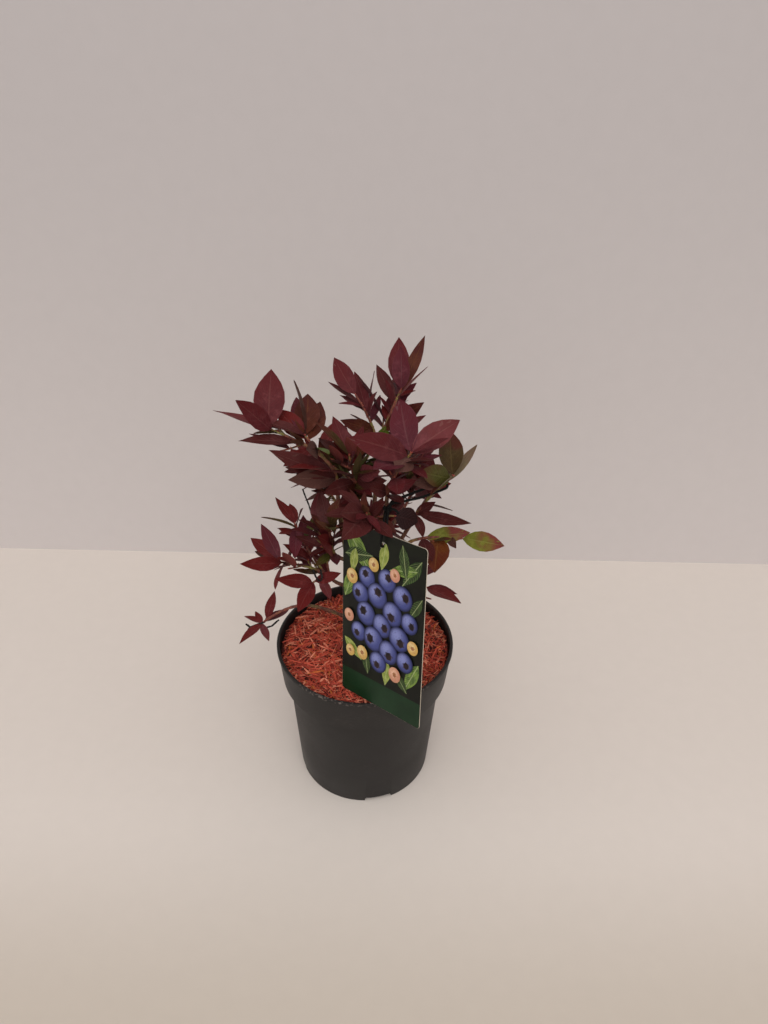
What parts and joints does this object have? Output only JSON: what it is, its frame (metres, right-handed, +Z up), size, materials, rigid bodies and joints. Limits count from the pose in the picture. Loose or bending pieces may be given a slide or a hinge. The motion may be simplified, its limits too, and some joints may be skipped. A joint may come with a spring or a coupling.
{
  "type": "potted blueberry bush",
  "caption": "Young blueberry bush with red autumn leaves in a stepped round nursery pot, topped with wood mulch, with a picture card tied to its stems.",
  "frame": {"origin": "middle of the pot's flat underside", "axes": "+Z up along the pot's axis; -Y towards the front, where the picture card hangs; +X to the right seen from the front"},
  "size_m": [0.2463, 0.2328, 0.4377],
  "materials": {
    "pot_plastic": "matt dark grey moulded plastic with fine scratches",
    "potting_mix": "damp dark potting compost",
    "mulch": "shredded reddish wood fibre",
    "bark": "smooth reddish brown young bark",
    "leaf": "burgundy autumn leaves with a soft waxy sheen",
    "card": "smooth printed plastic card",
    "cord": "thin black plastic cord"
  },
  "bodies": {
    "root": {"pot": "pot_plastic", "potting_mix": "potting_mix", "wood_mulch": "mulch", "trunk": "bark", "bough_left_high": "bark", "bough_top": "bark", "bough_front": "bark", "bough_centre": "bark", "bough_right": "bark", "bough_right_low": "bark", "bough_left_low": "bark", "bough_middle": "bark", "bough_left_foot": "bark", "bough_front_low": "bark", "bough_right_foot": "bark", "bough_back_left": "bark", "bough_back_right": "bark", "bough_back_low": "bark", "leaves_left_high": "leaf", "leaves_top": "leaf", "leaves_front": "leaf", "leaves_centre": "leaf", "leaves_right": "leaf", "leaves_right_low": "leaf", "leaves_left_low": "leaf", "leaves_middle": "leaf", "leaves_left_foot": "leaf", "leaves_front_low": "leaf", "leaves_right_foot": "leaf", "leaves_back_left": "leaf", "leaves_back_right": "leaf", "leaves_back_low": "leaf", "label_card": "card", "label_tie": "cord"}
  },
  "joints": []
}
